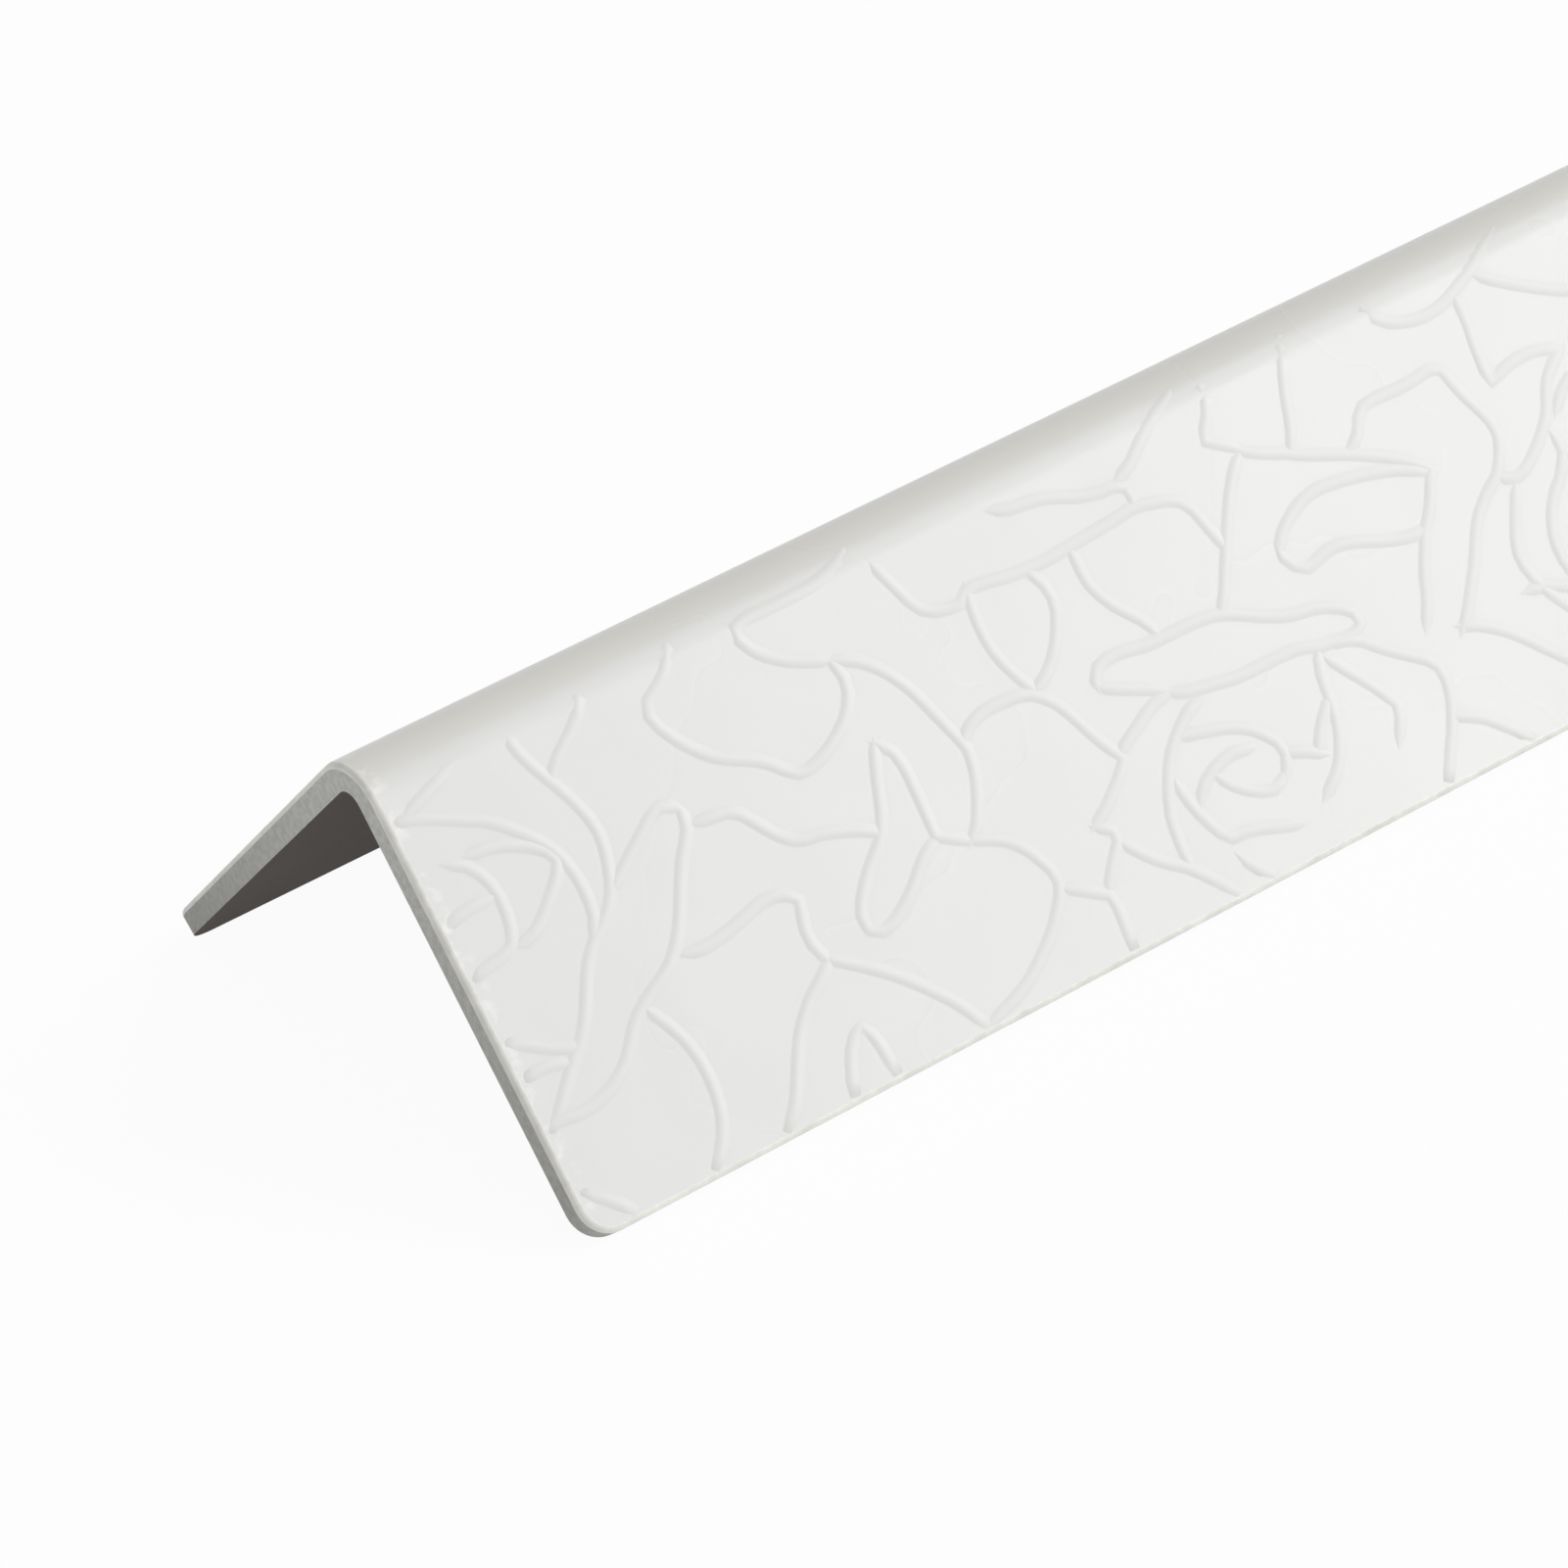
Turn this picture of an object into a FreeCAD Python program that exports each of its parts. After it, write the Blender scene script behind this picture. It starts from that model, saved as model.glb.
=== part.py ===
import FreeCAD, Part
import math
import os

import Sketcher

# Corner guard moulding: one length of extruded angle, two equal flanges that
# meet in a rounded ridge. It lies as a roof on its two free edges.
# X runs along the length, Z is up, and the origin is the middle of the
# footprint. The section lies in the YZ plane. Millimetres and degrees.

SIZES = {
    # length that the moulding is sold in
    "stock_length": 1000.0,
    # from the sharp outer corner, before it is rounded, to the free edge
    "flange_width": 30.0,
    # between the outer faces: a few degrees under a right angle, so that the free
    # edges spring against the two walls
    "flange_angle": 83.0,
    # the wall thins from the ridge to the free edge
    "wall_at_ridge": 1.75,
    "wall_at_edge": 1.6,
    # roundings of the section
    "ridge_radius": 3.2,
    "inner_radius": 1.2,
    # rounding of each flange's corners in its own plane, at both ends
    "end_corner_radius": 2.0,
    # small rounding of the outer face's rim
    "rim_radius": 0.35,
}


def make_sheet(doc):
    """Put each size in a cell of its own, with its name as the alias."""
    sheet = doc.addObject("Spreadsheet::Sheet", "sizes")
    for row, (name, value) in enumerate(SIZES.items(), start=1):
        sheet.set("A%d" % row, name)
        sheet.set("B%d" % row, str(value))
        sheet.setAlias("B%d" % row, name)
    doc.recompute()
    return sheet


def origin_plane(body, role):
    """The body's own origin plane with this role."""
    return next(item for item in body.Origin.OriginFeatures if item.Role == role)


def section_points(sheet):
    """Corners of the sharp section as (y, z), with the ridge on the Z axis.

    The right flange lies on the -Y side. Each free edge is square to its outer
    face, so the flange stands on the inner corner of that edge, at z = 0.
    """
    half_angle = math.radians(sheet.flange_angle / 2)
    rise = sheet.flange_width * math.cos(half_angle) + sheet.wall_at_edge * math.sin(half_angle)
    reach = sheet.flange_width * math.sin(half_angle)
    ridge = (0.0, rise)
    hollow = (0.0, rise - sheet.wall_at_ridge / math.sin(half_angle))
    outer = (reach, sheet.wall_at_edge * math.sin(half_angle))
    inner = (reach - sheet.wall_at_edge * math.cos(half_angle), 0.0)
    return {
        "ridge": ridge,
        "outer_right": (-outer[0], outer[1]),
        "inner_right": (-inner[0], inner[1]),
        "hollow": hollow,
        "inner_left": inner,
        "outer_left": outer,
    }


def add_section(body, sheet):
    """Sketch of the sharp angle section, tied to the sheet."""
    sketch = body.newObject("Sketcher::SketchObject", "section")
    sketch.AttachmentSupport = [(origin_plane(body, "YZ_Plane"), "")]
    sketch.MapMode = "FlatFace"

    corners = [FreeCAD.Vector(y, z, 0) for y, z in section_points(sheet).values()]
    following = corners[1:] + corners[:1]
    for start, end in zip(corners, following):
        sketch.addGeometry(Part.LineSegment(start, end), False)

    # the six sides, in the order of the corners
    outer_right, edge_right, inner_right, inner_left, edge_left, outer_left = range(6)
    start, end = 1, 2
    x_axis, z_axis = -1, -2
    sides = (outer_right, edge_right, inner_right, inner_left, edge_left, outer_left)
    for side, next_side in zip(sides, sides[1:] + sides[:1]):
        sketch.addConstraint(Sketcher.Constraint("Coincident", side, end, next_side, start))

    sketch.addConstraint(Sketcher.Constraint("PointOnObject", outer_right, start, z_axis))
    sketch.addConstraint(Sketcher.Constraint("PointOnObject", inner_right, end, z_axis))
    sketch.addConstraint(Sketcher.Constraint("PointOnObject", inner_right, start, x_axis))
    sketch.addConstraint(Sketcher.Constraint("Perpendicular", outer_right, edge_right))
    sketch.addConstraint(Sketcher.Constraint(
        "Symmetric", outer_right, end, outer_left, start, z_axis))
    sketch.addConstraint(Sketcher.Constraint(
        "Symmetric", inner_right, start, inner_left, end, z_axis))

    def add_size(constraint, name):
        index = sketch.addConstraint(constraint)
        sketch.renameConstraint(index, name)
        sketch.setExpression("Constraints." + name, "<<%s>>.%s" % (sheet.Label, name))

    add_size(Sketcher.Constraint("Distance", outer_right, sheet.flange_width), "flange_width")
    add_size(Sketcher.Constraint("Distance", edge_right, sheet.wall_at_edge), "wall_at_edge")
    add_size(Sketcher.Constraint(
        "Distance", inner_right, end, outer_right, sheet.wall_at_ridge), "wall_at_ridge")
    add_size(Sketcher.Constraint(
        "Angle", outer_right, start, outer_left, end,
        math.radians(sheet.flange_angle)), "flange_angle")
    return sketch


def edges_along(shape, points):
    """Names of the edges whose middle is nearest to each of the points."""
    names = []
    for point in points:
        target = FreeCAD.Vector(*point)

        def distance(number):
            edge = shape.Edges[number]
            middle = (edge.Vertexes[0].Point + edge.Vertexes[-1].Point) / 2
            return (middle - target).Length

        nearest = min(range(len(shape.Edges)), key=distance)
        names.append("Edge%d" % (nearest + 1))
    return names


def add_rounding(body, sheet, base, name, points, size):
    """Fillet of the edges at these points, with its radius from the sheet."""
    fillet = body.newObject("PartDesign::Fillet", name)
    fillet.Base = (base, edges_along(base.Shape, points))
    fillet.setExpression("Radius", "<<%s>>.%s" % (sheet.Label, size))
    body.Document.recompute()
    return fillet


def make_corner_guard(doc, sheet):
    """The whole moulding, extruded along X and then rounded."""
    body = doc.addObject("PartDesign::Body", "corner_guard")
    body.Label = "corner_guard"
    sketch = add_section(body, sheet)
    doc.recompute()

    extrusion = body.newObject("PartDesign::Pad", "extrusion")
    extrusion.Profile = sketch
    extrusion.SideType = "Symmetric"
    extrusion.setExpression("Length", "<<%s>>.stock_length" % sheet.Label)
    doc.recompute()

    corners = section_points(sheet)
    ridge = [(0, *corners["ridge"])]
    rounded = add_rounding(body, sheet, extrusion, "ridge_rounding", ridge, "ridge_radius")

    hollow = [(0, *corners["hollow"])]
    rounded = add_rounding(body, sheet, rounded, "hollow_rounding", hollow, "inner_radius")

    half_length = sheet.stock_length / 2
    end_corners = []
    for side in ("right", "left"):
        outer = corners["outer_" + side]
        inner = corners["inner_" + side]
        middle = ((outer[0] + inner[0]) / 2, (outer[1] + inner[1]) / 2)
        end_corners += [(x, *middle) for x in (-half_length, half_length)]
    rounded = add_rounding(
        body, sheet, rounded, "end_corner_rounding", end_corners, "end_corner_radius")

    # the rim is one smooth loop, so the rounding of one edge runs all round it
    rim = [(0, *corners["outer_right"])]
    add_rounding(body, sheet, rounded, "rim_rounding", rim, "rim_radius")
    return body


def check(doc, bodies):
    """Stop on any failed object or broken shape."""
    for item in doc.Objects:
        if "Invalid" in item.State or "Error" in item.State:
            raise RuntimeError("%s is not built: %s" % (item.Name, item.State))
    for body in bodies:
        shape = body.Shape
        if shape.isNull() or not shape.isValid() or len(shape.Solids) != 1:
            raise RuntimeError("%s is not one valid solid" % body.Label)


def main():
    doc = FreeCAD.newDocument("corner_guard_moulding")
    sheet = make_sheet(doc)
    bodies = [make_corner_guard(doc, sheet)]
    doc.recompute()
    check(doc, bodies)
    os.makedirs("parts", exist_ok=True)
    for body in bodies:
        body.Shape.exportStep("parts/%s.step" % body.Label)
        print(body.Label, "%.0f mm3" % body.Shape.Volume)


main()
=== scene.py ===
import math
from functools import partialmethod

import bmesh
import bpy
from bpy.props import FloatProperty, FloatVectorProperty, IntProperty, PointerProperty
from bpy.types import Operator, Panel, PropertyGroup
from mathutils import Euler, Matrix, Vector


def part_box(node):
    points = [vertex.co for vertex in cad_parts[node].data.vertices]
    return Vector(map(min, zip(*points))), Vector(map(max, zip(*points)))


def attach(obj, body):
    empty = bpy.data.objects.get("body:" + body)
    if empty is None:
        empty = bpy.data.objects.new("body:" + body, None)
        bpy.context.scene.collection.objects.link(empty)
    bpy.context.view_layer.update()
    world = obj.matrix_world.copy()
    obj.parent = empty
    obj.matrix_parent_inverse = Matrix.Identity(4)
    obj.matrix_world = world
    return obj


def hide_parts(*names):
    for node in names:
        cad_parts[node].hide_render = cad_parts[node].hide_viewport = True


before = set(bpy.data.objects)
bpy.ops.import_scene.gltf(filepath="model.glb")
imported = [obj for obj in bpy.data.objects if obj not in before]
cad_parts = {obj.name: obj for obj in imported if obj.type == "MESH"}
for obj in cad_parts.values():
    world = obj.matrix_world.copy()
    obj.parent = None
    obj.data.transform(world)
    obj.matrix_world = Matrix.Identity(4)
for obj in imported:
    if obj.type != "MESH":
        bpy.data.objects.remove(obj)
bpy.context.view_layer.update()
CAD_LOW, CAD_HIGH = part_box("corner_guard")

bl_info = {
    "name": "Corner guard moulding",
    "version": (1, 0, 0),
    "blender": (4, 5, 0),
    "location": "3D View > Sidebar > Moulding",
    "description": "An angle moulding with an embossed pattern of roses and leaves",
    "category": "Object",
}

MM = 0.001
TENTHS = 10
# attributes of the raised strokes: the place across a stroke from -1 to 1, and its size
ACROSS, SIZE = "across_stroke", "stroke_size"
# refraction of rigid PVC
PVC_IOR = 1.53
# edges that turn more than this are shaded sharp
SHARP_EDGE, SHARP_FOOT = math.radians(35.0), math.radians(60.0)
# segments of the body's roundings
RIDGE_STEPS, HOLLOW_STEPS, CORNER_STEPS, RIM_STEPS = 32, 12, 10, 4
# sockets of a colour Mix node: factor, two colours, and the output
MIX_SHARE, MIX_FIRST, MIX_SECOND, MIXED = 0, 6, 7, 2

# The embossed pattern, one repeat of it, as the middle lines of its raised strokes. Each stroke
# is a row with two numbers for each point, in tenths of a millimetre: along the moulding from its
# end, and across the flange from the ridge's sharp corner towards the free edge.
END_BUD = [
    (-8, 49, 2, 49, 12, 51, 22, 54, 33, 59, 45, 65, 55, 70, 65, 78, 75, 88, 83, 98, 88, 109,
     90, 120, 90, 132, 88, 144, 82, 153),
    (14, 49, 23, 46, 32, 42.5, 42, 39, 52, 35),
    (36, 83, 50, 84, 62, 88, 72, 93, 80, 99, 84, 105, 81, 112, 74, 119, 66, 126, 57, 133, 47, 138,
     40, 138),
    (22, 82, 31, 86, 37, 93, 41, 101, 42.5, 110, 42, 120, 39.5, 130, 36, 137, 28, 140, 18, 141,
     5, 144, -8, 149),
    (-8, 117, 0, 114, 8, 111, 18, 109.5, 28, 108.5, 38, 109),
    (-8, 178, 0, 180, 10, 184, 20, 190, 30, 196, 40, 200, 46, 201),
    (-8, 205, 3, 204, 15, 203, 27, 204, 35, 207),
    (-8, 265, 0, 269, 9, 274, 18, 281, 27, 290, 33, 299),
]
LONG_LEAF = [
    (90, 34, 92, 45, 96, 55, 101, 65, 106, 75, 110, 85, 113, 95, 114, 105, 112, 115, 109, 125,
     105, 134, 99, 142, 92, 148, 83, 154, 74, 162, 67.5, 171, 62, 180, 56, 189, 50, 197, 43, 203,
     35, 210, 27, 218, 20, 225, 13, 231),
    (142, 29, 136, 39, 128, 46, 118, 53, 109, 59, 103, 66),
    (165, 111, 165, 120, 159, 129, 152, 137, 146, 146, 137, 161, 131, 170, 124, 178, 116, 185,
     105, 191, 92, 197, 83, 203, 76, 210, 69, 218, 60, 225, 50, 230, 40, 233, 30, 234, 20, 233,
     12, 232, 2, 236, -8, 241),
    (106, 134, 114, 129, 123, 123, 133, 117, 142, 111, 151, 106, 159, 106, 165, 111),
    (92, 201, 99, 213, 104, 224, 106.5, 234, 107.5, 244, 107, 254, 105, 266, 101.5, 275, 96, 284,
     89, 292, 83, 299),
]
EDGE_PETALS = [
    (128, 183, 140, 185, 150, 184, 162, 182, 173, 179.5, 183, 177, 192, 177, 200, 179, 206, 184,
     205, 190, 203, 195, 201, 203, 201, 210, 204, 218, 206, 222),
    (206, 222, 197, 229, 187, 235, 178, 242, 170, 250, 164, 258, 158, 267, 152, 277, 145, 286,
     138, 293, 133, 299),
    (206, 221, 217, 229, 228, 237, 239, 246, 249, 256, 257, 265, 264, 273, 270, 282, 275, 291,
     279, 299),
    (182, 299, 184, 290, 188, 281, 193, 272, 200, 265, 206, 262, 210, 271, 211.5, 280, 212, 290,
     213, 299),
    (320, 199, 329, 202, 337, 206, 344, 211, 350, 218, 354, 225, 358, 233, 359.5, 241, 356, 249,
     351, 255, 345, 261, 340, 266, 330, 273, 318, 281, 305, 287, 292, 291, 280, 295),
]
FIRST_PETALS = [
    (206, 26, 200, 34, 194, 41, 187, 46, 179, 49.5, 174, 55, 175, 63, 179, 71, 185, 80, 192, 88,
     200, 95, 209, 100, 218, 104, 226, 109, 232, 115, 238, 121, 244, 124, 251, 123, 262, 120,
     272, 115, 280, 110, 287, 104, 292, 97, 294.5, 89, 294, 81, 291, 75),
    (335, 20, 326, 26, 316, 30, 305, 32.5, 290, 33.5, 270, 33.5, 253, 33.5, 245, 36, 245.5, 42,
     249, 49, 255, 56, 263, 62, 272, 67, 282, 71, 291, 74),
    (292, 75, 302, 79, 311, 85, 319, 93, 326, 103, 331, 113, 335, 124, 339, 135, 343, 146, 345, 154,
     342, 168, 337.5, 178, 332.5, 187, 327, 195, 320, 200),
    (170, 122, 180, 123, 190, 124, 197, 128, 202.5, 135, 207.5, 142, 213, 149, 219, 154, 227, 157,
     237, 158, 247, 161, 257, 165, 266, 169, 271, 173),
    (293, 127, 289, 135, 285, 144, 281, 154, 277, 164, 271, 174, 263, 181, 254, 188, 246, 196,
     239, 204, 236, 212, 238, 219, 246, 222, 256, 219, 265, 214, 274, 208, 282, 201, 290, 195,
     301, 190),
    (293, 127, 299, 132, 303, 141, 303.5, 153, 303, 166, 302.5, 178, 302, 189, 312, 194, 320, 199),
]
SMALL_BUD = [
    (343, 37, 347, 47, 351, 57, 355, 67, 361, 74, 370, 77, 379, 78.5, 386, 78, 391, 73, 404, 74,
     416, 76, 430, 77.5, 445, 78, 460, 77, 475, 76, 490, 75, 503, 74, 514, 73, 524, 75, 533, 77,
     541, 80, 547, 86, 550, 94, 552, 102, 555, 110, 557, 117),
    (391, 72, 389, 82, 387.5, 94, 387.5, 106, 389.5, 116, 393.5, 126, 398, 135, 401, 140),
    (428, 39, 440, 43, 453, 44, 463, 46, 472, 49, 481, 53, 490, 55.5, 500, 57, 510, 57.5, 515, 61,
     517, 66, 514, 72),
    (512, 55, 523, 51, 532, 45, 540, 39, 548, 34, 556, 30, 565, 26, 574, 21),
    (431, 78, 436, 86, 438.5, 95, 438, 104, 434, 112, 429, 120, 422, 128, 415, 134, 408, 138,
     402, 141),
    (463, 79, 464, 87, 463, 96, 465.5, 105, 470, 114, 475, 121, 481, 128, 487, 135, 490, 143),
    (593, 73, 585, 80, 577, 89, 570, 98, 564, 107, 558, 116, 552, 125, 546, 134, 540, 143,
     534, 149),
    (592, 24, 590, 34, 587, 43, 581, 50, 575, 56, 582, 61, 590, 65, 595, 70),
]
ARCH = [
    (345, 148, 351, 143, 359, 139.5, 370, 138, 381, 138.5, 391, 139.5, 400, 143, 410, 153, 415, 162,
     419, 171, 423, 180, 428, 189, 433, 197, 424, 206, 415, 213, 406, 219, 396, 224),
    (396, 224, 402, 228, 408, 233, 403, 240, 396, 247, 390, 254, 386, 259),
    (360, 247, 367, 250, 374, 255, 382, 260, 386, 263, 386, 271, 385, 281, 384, 290, 383, 299),
    (407, 239, 413, 246, 420, 254, 428, 261, 437, 267, 444, 274, 451, 282, 458, 290, 464, 298),
]
FIRST_ROSE = [
    (496, 187, 486, 190, 476, 196, 467, 203, 459, 211, 453, 220, 448, 229, 444, 238, 442, 248,
     441, 258, 441, 268),
    (457, 223, 458, 232, 460.5, 242, 464, 251, 468, 259, 472, 265, 480, 265, 490, 267, 500, 270,
     510, 273.5, 519, 276),
    (473, 277, 478, 285, 485, 293, 491, 299),
    (472, 201, 483, 203, 494, 206, 505, 209, 515, 214, 523, 221, 529, 228, 531, 235, 529, 242,
     524, 248),
    (466, 239, 472, 232, 481, 227, 491, 224, 502, 223, 512, 225),
    (483, 230, 488, 237, 494, 243, 502, 248, 511, 252, 518, 251, 523, 247),
    (531, 237, 539, 239, 547, 243, 554, 247),
    (581, 194, 577, 203, 575, 212, 574, 222, 572, 232, 569, 241, 564, 250, 558, 258, 550, 264,
     542, 269),
    (574, 220, 567, 226, 561, 232, 555, 239, 551, 245),
    (584, 199, 591, 208, 597, 216, 603, 224, 608, 232, 613, 239, 612, 247, 608, 254, 603, 261),
    (590, 193, 602, 195, 612, 200, 619, 207, 627, 213, 635, 219, 644, 225, 650, 232, 651, 241,
     649, 250, 645, 259, 641, 266, 634, 276, 626, 287, 619, 298),
    (644, 262, 653, 266, 662, 271, 670, 278, 678, 286, 685, 294, 689, 299),
]
TONGUE_LEAF = [
    (439, 155, 440, 149, 447, 144, 456, 143, 466, 143.5, 477, 146, 490, 146.5, 505, 146.5, 520, 147,
     532, 149, 542, 153, 552, 158, 562, 163, 572, 167, 583, 169, 594, 171, 604, 175, 612, 180,
     617, 187, 613, 193, 603, 194, 592, 192, 580, 191, 573, 187, 563, 186.5, 550, 186, 535, 186,
     520, 185, 503, 182, 490, 180, 480, 176),
    (439, 155, 446, 159, 455, 163, 464, 167, 473, 171, 480, 175),
    (433, 194, 442, 189, 451, 185, 461, 180, 471, 177, 480, 176),
]
RIDGE_LEAF = [
    (595, 71, 604, 76, 613, 80, 623, 84, 632, 89, 642, 93, 652, 97, 662, 101, 672, 106, 682, 111,
     692, 117, 701, 123, 707, 129),
    (707, 129, 702, 137, 697, 145, 692, 152, 684, 159, 679, 168, 673, 177, 668, 186, 665, 194,
     660, 202, 655, 209),
    (663, 10, 657, 20, 651, 30, 646, 40, 641.5, 50, 637.5, 60, 634, 70, 629, 80, 625, 86),
    (662, 98, 670, 95, 675, 88, 679.5, 82, 687, 78.5, 700, 78.5, 715, 79, 730, 78, 740, 77, 745, 82,
     747, 90, 750, 99, 754, 108, 758, 117, 760, 126, 757, 135, 752, 143, 746, 150, 737, 155,
     728, 161, 720, 168, 713, 177, 707, 186, 701, 194, 695, 201, 689, 208, 683, 215, 676, 221),
    (676, 218, 687, 222, 697, 228, 706, 235, 714, 243, 722, 252, 730, 260, 738, 269, 748, 280,
     758, 292, 764, 299),
    (588, 133, 593, 126, 600, 121, 608, 116, 622, 111, 635, 110.5, 648, 112, 660, 114, 672, 117,
     683, 120, 695, 125, 704, 129),
    (588, 133, 590, 140, 596, 146, 603, 149, 610, 146, 620, 144, 630, 145, 640, 148, 650, 152,
     660, 155.5, 670, 158, 680, 159.5, 686, 158),
]
RIDGE_ARC = [
    (714, 24, 717, 33, 722, 40, 730, 44, 743, 47.5, 756, 48, 768, 46, 779, 42, 789, 38, 799, 33,
     809, 27, 819, 22, 829, 16),
    (776, 46, 776, 56, 775, 66, 773, 76, 772, 86, 771, 96, 772, 100, 781, 97, 792, 94.5, 804, 94,
     814, 95.5, 826, 100),
    (826, 101, 817, 106, 809, 112, 803, 120, 799, 128, 793, 135, 786, 141, 778, 147, 770, 152,
     761, 156, 753, 155, 747, 151),
    (796, 40, 806, 47, 817, 54, 828, 60.5, 839, 66.5, 850, 71.5, 862, 78, 876, 84, 890, 88, 905, 89,
     920, 86, 934, 80, 946, 72, 956, 62, 964, 50, 970, 38, 974, 26),
]
SECOND_ROSE = [
    (754, 161, 750, 168, 745, 176, 740, 184, 736, 192, 734, 200, 736, 209, 740, 220, 747, 232,
     756, 243, 768, 253, 782, 260),
    (728, 218, 740, 219, 752, 224, 766, 230),
    (794, 143, 796, 152, 791, 161, 784, 169, 776, 175, 770, 182, 765, 190, 762, 199, 761, 208,
     763, 220, 770, 232, 780, 242, 793, 249, 808, 253, 823, 254),
    (804, 132, 812, 124, 823, 118, 836, 115, 850, 115, 864, 118, 876, 124, 886, 133, 892, 143),
    (883, 126, 896, 123, 910, 125, 924, 131, 936, 141, 944, 154, 947, 169, 945, 184, 939, 198,
     930, 209, 919, 218, 906, 229, 893, 236, 878, 240, 863, 240, 848, 242, 834, 247, 823, 254),
    (946, 182, 953, 194, 955, 209, 951, 224, 942, 237, 929, 247, 914, 253, 898, 256, 882, 255,
     868, 250, 858, 242),
    (843, 206, 835, 196, 832, 184, 835, 171, 843, 161, 855, 155, 868, 154, 880, 158, 889, 167,
     893, 179, 890, 191, 882, 200, 871, 204, 860, 201, 854, 193, 855, 183, 863, 177),
    (792, 175, 796, 189, 803, 202, 813, 213, 826, 221, 841, 226, 857, 227, 873, 224, 889, 217,
     902, 206, 911, 192, 914, 176, 911, 161, 903, 148, 892, 140),
    (799, 162, 810, 150, 823, 142, 838, 137, 854, 136),
]
LEAF_PAIR = [
    (952, 159, 962, 140, 975, 126, 990, 114, 1007, 104, 1025, 96, 1044, 90, 1065, 86, 1062, 102,
     1055, 118, 1044, 133, 1030, 146, 1013, 156, 994, 163, 975, 166, 952, 162),
    (964, 154, 982, 146, 1002, 133, 1023, 117, 1041, 103),
    (954, 220, 969, 210, 986, 203, 1004, 200, 1022, 201, 1039, 207, 1054, 217, 1066, 231, 1075, 247,
     1060, 254, 1043, 258, 1025, 258, 1007, 255, 990, 248, 974, 238, 960, 227, 953, 220),
    (906, 255, 914, 266, 928, 275, 943, 283, 960, 290, 978, 295, 990, 299),
    (1030, 259, 1028, 272, 1023, 285, 1016, 299),
    (1075, 247, 1090, 250, 1105, 256, 1119, 265, 1131, 277, 1140, 289, 1146, 299),
    (1065, 86, 1080, 80, 1096, 77, 1112, 78, 1128, 82, 1145, 92),
    (1032, 10, 1039, 22, 1049, 34, 1060, 45, 1071, 56, 1080, 68, 1086, 79),
    (1130, 12, 1124, 24, 1121, 37, 1121, 50, 1124, 63, 1128, 75, 1130, 83),
    (1052, 123, 1066, 119, 1081, 118, 1096, 121, 1110, 128, 1122, 138, 1131, 151, 1136, 165,
     1137, 179, 1134, 196),
    (1030, 147, 1045, 149, 1060, 155, 1073, 164, 1083, 176, 1090, 190, 1095, 204),
    (1054, 216, 1068, 211, 1081, 206, 1095, 204, 1109, 206, 1123, 213),
]
BUD_START = [
    (1192, 49, 1178, 52, 1167, 58, 1158, 67, 1151, 78, 1147, 90, 1146, 103, 1148, 116, 1153, 128,
     1161, 138, 1171, 146, 1183, 150, 1192, 149),
    (1192, 119, 1189, 124, 1185, 132, 1183, 148),
    (1192, 178, 1184, 176, 1176, 176, 1164, 178, 1152, 182, 1141, 189, 1132, 198, 1125, 209,
     1121, 221, 1120, 233),
    (1192, 205, 1184, 207, 1177, 210, 1166, 216, 1156, 224, 1146, 230, 1133, 233, 1120, 233),
    (1192, 241, 1184, 250, 1178, 260, 1175, 271, 1175, 283, 1177, 299),
    (1192, 265, 1186, 262, 1179, 260),
]
PATTERN = (
    END_BUD + LONG_LEAF + EDGE_PETALS + FIRST_PETALS + SMALL_BUD + ARCH + FIRST_ROSE
    + TONGUE_LEAF + RIDGE_LEAF + RIDGE_ARC + SECOND_ROSE + LEAF_PAIR + BUD_START
)


def length(name, description, default):
    """A size in metres, shown in the scene's own units."""
    return FloatProperty(
        name=name, description=description, default=default, unit="LENGTH", precision=5)


def angle(name, description, degrees):
    """An angle, written here in degrees."""
    return FloatProperty(
        name=name, description=description, default=math.radians(degrees), subtype="ANGLE")


def share(name, description, default):
    """A part of one, from none to all."""
    return FloatProperty(
        name=name, description=description, default=default, subtype="FACTOR", min=0.0, max=1.0)


def strength(name, description, default):
    """The strength of a light."""
    return FloatProperty(name=name, description=description, default=default, min=0.0)


def direction(name, description, default):
    """The direction that a light shines from."""
    return FloatVectorProperty(
        name=name, description=description, default=default, subtype="XYZ")


def colour(name, description, default):
    """A colour, written as it is seen."""
    return FloatVectorProperty(
        name=name, description=description, default=default, subtype="COLOR", size=3,
        min=0.0, max=1.0)


class MouldingSizes(PropertyGroup):
    """Sizes of the moulding itself, as in the CAD source"""

    stock_length: length(
        "Length", "Length that the moulding is sold in", round(CAD_HIGH.x - CAD_LOW.x, 4))
    flange_width: length(
        "Flange width", "From the sharp outer corner to the free edge", 30.0 * MM)
    flange_angle: angle("Flange angle", "Between the two outer faces", 83.0)
    wall_at_ridge: length("Wall at the ridge", "Thickness next to the ridge", 1.75 * MM)
    wall_at_edge: length("Wall at the edge", "Thickness at the free edges", 1.6 * MM)
    ridge_radius: length("Ridge radius", "Rounding of the outer corner", 3.2 * MM)
    inner_radius: length("Inner radius", "Rounding of the inner corner", 1.2 * MM)
    end_corner_radius: length(
        "End corner radius", "Rounding of each flange's corners in its own plane", 2.0 * MM)
    rim_radius: length("Rim radius", "Small rounding of the outer face's rim", 0.35 * MM)


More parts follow.
